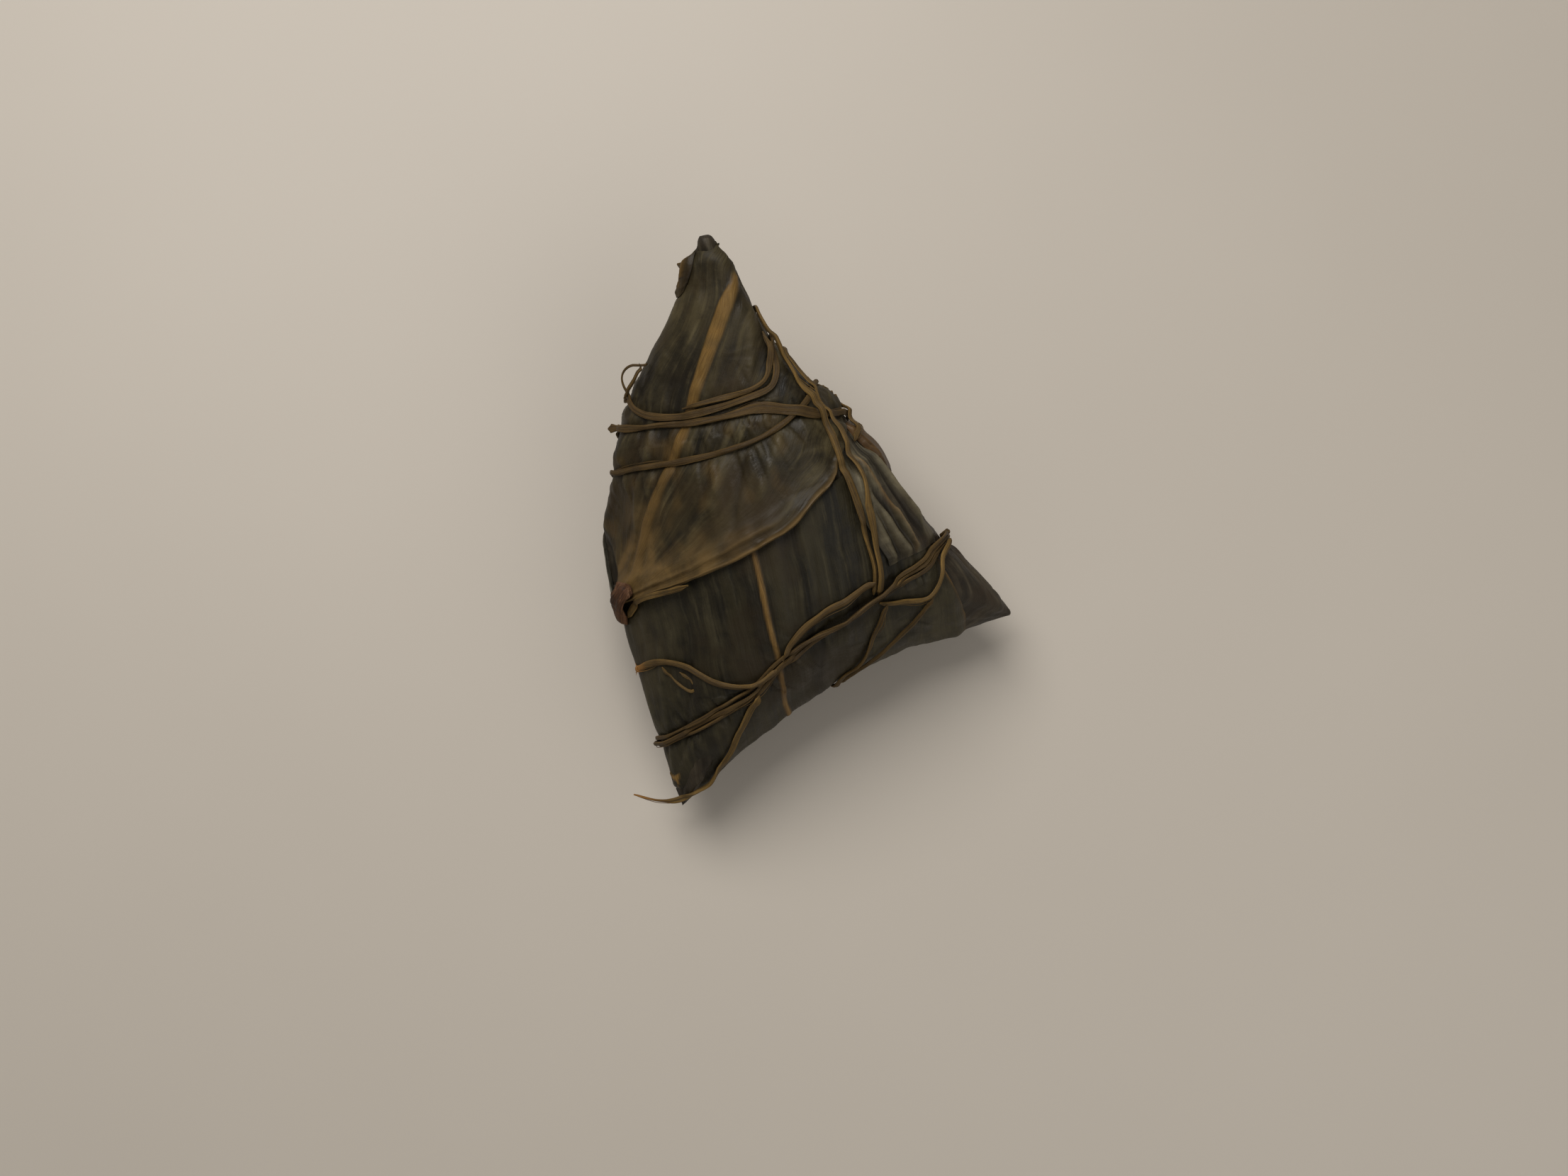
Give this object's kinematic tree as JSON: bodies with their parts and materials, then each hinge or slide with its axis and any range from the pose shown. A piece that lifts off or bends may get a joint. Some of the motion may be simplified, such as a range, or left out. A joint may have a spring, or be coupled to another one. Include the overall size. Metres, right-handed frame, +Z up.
{
  "type": "zongzi rice dumpling",
  "caption": "Leaf-wrapped rice dumpling with four pointed corners, folded from broad dark leaves and bound with crossing strips of straw, lying on its rounded belly.",
  "frame": {"origin": "on the ground, under the middle of the outline seen from above", "axes": "+Z up; +Y towards the raised tip; +X towards the smooth horn"},
  "size_m": [0.0704, 0.0916, 0.0483],
  "materials": {
    "leaf": "damp satin, dark olive brown boiled leaf with fine parallel veins",
    "pale_leaf": "damp satin, greyer underside of a leaf",
    "brown_leaf": "matt, dry brown stalk and leaf edge",
    "straw": "satin, ochre fibrous straw strip"
  },
  "bodies": {
    "root": {"leaf_parcel": "leaf", "lower_leaf": "leaf", "flank_leaf": "leaf", "upper_leaf": "leaf", "under_leaf": "pale_leaf", "tip_fold": "leaf", "brown_edge": "brown_leaf", "leaf_stalk": "brown_leaf", "tie_neck_low": "straw", "tie_neck_cross": "straw", "tie_neck_high": "straw", "tie_neck_thin": "straw", "ridge_inner": "straw", "ridge_outer": "straw", "flank_tie": "straw", "horn_tie": "straw", "horn_upper": "straw", "horn_loop": "straw", "front_outer": "straw", "front_inner": "straw", "stalk_strip": "straw", "loose_upper": "straw", "loose_split": "straw", "loose_lower": "straw"}
  },
  "joints": []
}
